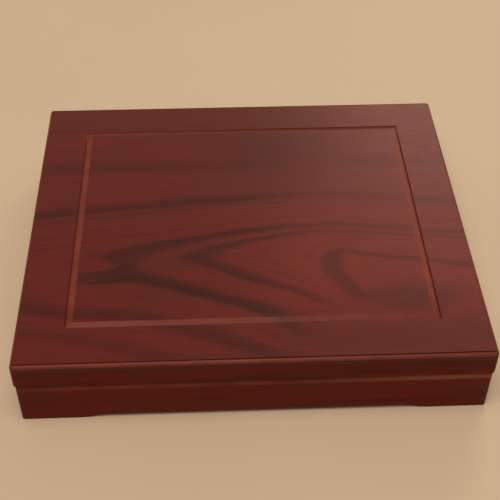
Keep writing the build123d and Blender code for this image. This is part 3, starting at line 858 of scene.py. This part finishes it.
def settled(pad, rest):
    """Run the cloth simulation and say how far it moves each place of the pad."""
    cloth = pad.modifiers.new("cloth", "CLOTH")
    for setting, value in SATIN_CLOTH.items():
        setattr(cloth.settings, setting, value)
    cloth.settings.vertex_group_mass = "fixed"
    cloth.settings.vertex_group_shrink = "taut"
    cloth.settings.effector_weights.gravity = 0.0
    cloth.collision_settings.use_collision = False
    cloth.collision_settings.use_self_collision = False
    cloth.point_cache.frame_start = 1
    cloth.point_cache.frame_end = PAD_FRAMES
    for step in range(1, PAD_FRAMES + 1):
        bpy.context.scene.frame_set(step)
    blown = pad.evaluated_get(bpy.context.evaluated_depsgraph_get())
    moves = [vert.co - start for vert, start in zip(blown.data.vertices, rest)]
    pad.modifiers.remove(cloth)
    bpy.context.scene.frame_set(1)
    print("the simulation moved the satin by", round(min(move.z for move in moves) * 1000, 2), "to",
          round(max(move.z for move in moves) * 1000, 2), "mm")
    return moves


def satin_pad():
    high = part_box("lid_lining_pad")[1]
    middle, size = middle_and_size("lid_lining_pad")
    shape = cloth_grid("lid_lining_pad", PAD_CELL)
    thicken(shape, size.z)

    def from_rim(place):
        return min(size.x / 2 - abs(place.x - middle.x), size.y / 2 - abs(place.y - middle.y))

    def tautness(place):
        """0 at the rim and 1 where the puckers have run out."""
        return min(1.0, from_rim(place) / PUCKER_REACH)

    def first_ripple(place):
        """Ripples that run in from the nearest rim and fade away from it."""
        side_nearest = size.x / 2 - abs(place.x - middle.x) < size.y / 2 - abs(place.y - middle.y)
        along = place.y + 1.0 if side_nearest else place.x
        ripple = noise.noise(Vector((along * RIPPLES_ALONG, from_rim(place) * RIPPLES_INWARD, 3.1)))
        return FIRST_RIPPLE * ripple * (1 - tautness(place))

    crown = size.z - PAD_RIM - PAD_ROOM
    for vert in shape.verts:
        if vert.co.z < middle.z:
            vert.co.z = high.z - PAD_RIM - crown * (1 - math.exp(-from_rim(vert.co) / PAD_FULLNESS))
            if from_rim(vert.co) > 0.5 * PAD_CELL:
                vert.co.z += first_ripple(vert.co)
    pad = make_piece("satin_pad", shape, satin_finish, ["lid_lining_pad"])
    rest = [vert.co.copy() for vert in pad.data.vertices]
    fixed, taut = pad.vertex_groups.new(name="fixed"), pad.vertex_groups.new(name="taut")
    for index, place in enumerate(rest):
        held = place.z > high.z - 0.1 * MM or from_rim(place) < 0.5 * PAD_CELL
        fixed.add([index], 1.0 if held else WADDING_PULL, "REPLACE")
        taut.add([index], tautness(place), "REPLACE")
    for vert, start, move in zip(pad.data.vertices, rest, settled(pad, rest)):
        vert.co.z = start.z + PAD_ROOM * math.tanh(move.z / PAD_ROOM)
    modifier(pad, "SUBSURF", levels=1, render_levels=1)


satin_pad()

# %% [markdown]
# ## The pull ribbons
# At each end of the tray a loop of satin ribbon comes up between the insert and the rail and lies on the
# velvet. It is one strip folded back on itself. An edge as wide as the ribbon is drawn along the loop's
# side view, with a map along its length, because the weave has to follow the fold and not the room.

# %% Ribbons
RIBBON_THICK = 0.18 * MM
RIBBON_TURN = 0.55 * MM      # radius where the ribbon goes over the insert's edge
LOOP_THICK = 0.7 * MM        # both layers, with the air between them
LOOP_WAVE = 0.10 * MM        # how unevenly the upper layer lies
LOOP_STEPS = (4, 8, 12, 16)  # places along a layer, in mm from the turn
RIBBON_ACROSS = 6            # faces across the ribbon
RIB_PITCH = 0.5 * MM         # of the ribbon's weave


def ribbon_weave(nodes, place):
    across, along = nodes.split(nodes.add("ShaderNodeUVMap", uv_map="ribbon").outputs[0])[:2]
    ribs = nodes.maths("SINE", nodes.times(along, 2 * math.pi / RIB_PITCH))
    edge = nodes.maths("ABSOLUTE", nodes.minus(across, 0.5))
    selvedge = nodes.fade(edge, 0.43, 0.46)
    threads = nodes.clouds(nodes.join(nodes.times(across, 60.0), nodes.times(along, 700.0), 0.0), detail=2.0)
    shade = nodes.blend(threads, colour(0.010, 0.022, 0.095), colour(0.022, 0.046, 0.175))
    shade = nodes.blend(nodes.times(selvedge, 0.5), shade, colour(0.008, 0.016, 0.070))
    relief = nodes.total(nodes.times(ribs, 0.5), nodes.times(threads, 0.6), nodes.times(selvedge, 0.8))
    return {"Base Color": shade, "Roughness": nodes.total(0.30, nodes.times(threads, 0.2)),
            "Normal": nodes.bump(relief, 0.00006, 0.8)}


RIBBON_SHEEN = {"Sheen Weight": 0.2, "Sheen Roughness": 0.3, "Sheen Tint": colour(0.30, 0.40, 0.80)}
ribbon_finish = finished("ribbon_satin", ribbon_weave, **RIBBON_SHEEN)


def arc(centre, radius, start, end, steps):
    """Places round part of a circle, in a side view, from one angle to another in degrees."""
    turns = [math.radians(start + (end - start) * step / steps) for step in range(steps + 1)]
    return [(centre[0] + radius * math.cos(turn), centre[1] + radius * math.sin(turn)) for turn in turns]


def loop_side_view(low, high, reach_end, outer):
    """The ribbon's middle line, as distances from the tray's middle and heights, from end to hidden end."""
    half = RIBBON_THICK / 2
    outside, inside = outer - half, outer - LOOP_THICK + half
    upper, lower = high.z - half, high.z - LOOP_THICK + half
    fold = (upper - lower) / 2
    turn = outside - 2 * RIBBON_TURN
    line = [(outside, low.z + half)]
    line += arc((turn, upper - 2 * RIBBON_TURN), 2 * RIBBON_TURN, 0, 90, 6)
    line += [(turn - step * MM, upper - LOOP_WAVE * math.sin(step)) for step in LOOP_STEPS]
    line += arc((reach_end + fold + half, lower + fold), fold, 90, 270, 6)
    line += [(turn - step * MM, lower) for step in reversed(LOOP_STEPS)]
    line += arc((inside - RIBBON_TURN, lower - RIBBON_TURN), RIBBON_TURN, 90, 0, 5)
    line += [(inside, low.z + half)]
    return line


def pull_ribbon(side, facing):
    node = f"{side}_pull_ribbon"
    low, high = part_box(node)
    size = high - low
    near, far = sorted((abs(low.x), abs(high.x)))
    line = loop_side_view(low, high, near, far)
    shape = bmesh.new()
    mapped = shape.loops.layers.uv.new("ribbon")
    strands = [low.y + size.y * step / RIBBON_ACROSS for step in range(RIBBON_ACROSS + 1)]
    first = [shape.verts.new((facing * line[0][0], y, line[0][1])) for y in strands]
    front = [shape.edges.new(pair) for pair in zip(first, first[1:])]
    travelled = {vert: 0.0 for vert in first}
    length = 0.0
    for start, end in zip(line, line[1:]):
        length += math.dist(start, end)
        drawn = bmesh.ops.extrude_edge_only(shape, edges=front)["geom"]
        verts = [item for item in drawn if isinstance(item, bmesh.types.BMVert)]
        edges = [item for item in drawn if isinstance(item, bmesh.types.BMEdge)]
        front = [edge for edge in edges if all(vert in verts for vert in edge.verts)]
        bmesh.ops.translate(shape, verts=verts, vec=(facing * (end[0] - start[0]), 0, end[1] - start[1]))
        travelled.update({vert: length for vert in verts})
    for face in shape.faces:
        for corner in face.loops:
            corner[mapped].uv = ((corner.vert.co.y - low.y) / size.y, travelled[corner.vert])
    bmesh.ops.recalc_face_normals(shape, faces=shape.faces[:])
    ribbon = make_piece(f"{side}_ribbon", shape, ribbon_finish, [node])
    modifier(ribbon, "SOLIDIFY", thickness=RIBBON_THICK, offset=0.0)
    modifier(ribbon, "SUBSURF", levels=1, render_levels=1)
    print(node, "was cut", round(length * 1000, 1), "mm long")


pull_ribbon("left", -1)
pull_ribbon("right", 1)

# %% [markdown]
# ## Floor and light
# The case stands on a plain pale floor with a warm tint, which colours the light that it throws back on
# the sides. One wide lamp behind and to the right gives the soft haze that crosses the lid's far corner,
# and a weak one behind and to the left carries the haze on. One overhead lights the rest evenly, and the
# sky fills the shadows. Together they light a level white card to just under white.

# %% Floor and light
FLOOR_HALF = 3.0             # metres from its middle to its sides


def pale_floor(nodes, place):
    mottled = nodes.clouds(nodes.stretched(place, (6, 6, 6)), detail=4.0)
    shade = nodes.blend(mottled, colour(0.66, 0.485, 0.315), colour(0.72, 0.535, 0.350))
    return {"Base Color": shade, "Roughness": nodes.total(0.6, nodes.times(mottled, 0.1))}


floor_shape = bmesh.new()
bmesh.ops.create_grid(floor_shape, x_segments=4, y_segments=4, size=FLOOR_HALF)
floor_mesh = bpy.data.meshes.new("floor")
floor_shape.to_mesh(floor_mesh)
floor_shape.free()
floor_mesh.materials.append(finished("pale_floor", pale_floor))
floor = bpy.data.objects.new("floor", floor_mesh)
bpy.context.scene.collection.objects.link(floor)


def lamp(name, place, aim, side, watts, tint):
    data = bpy.data.lights.new(name, "AREA")
    data.shape = "SQUARE"
    data.size = side
    data.energy = watts
    data.color = tint
    made = bpy.data.objects.new(name, data)
    away = Vector(place) - Vector(aim)
    made.matrix_world = Matrix.Translation(place) @ away.to_track_quat("Z", "Y").to_matrix().to_4x4()
    bpy.context.scene.collection.objects.link(made)


lamp("window", (0.98, 2.28, 1.27), (0.05, 0.0, 0.0), 1.2, 18.5, (1.0, 0.90, 0.72))
lamp("far_left", (-0.75, 2.3, 1.2), (0.0, 0.0, 0.0), 1.6, 2.6, (1.0, 0.90, 0.82))
lamp("ceiling", (-0.2, -0.5, 2.2), (0.0, 0.0, 0.0), 1.4, 34, (1.0, 0.94, 0.86))

world = bpy.data.worlds.new("room")
world.use_nodes = True
sky = world.node_tree.nodes["Background"].inputs
sky["Color"].default_value = colour(0.80, 0.78, 0.75)
sky["Strength"].default_value = 0.25
bpy.context.scene.world = world
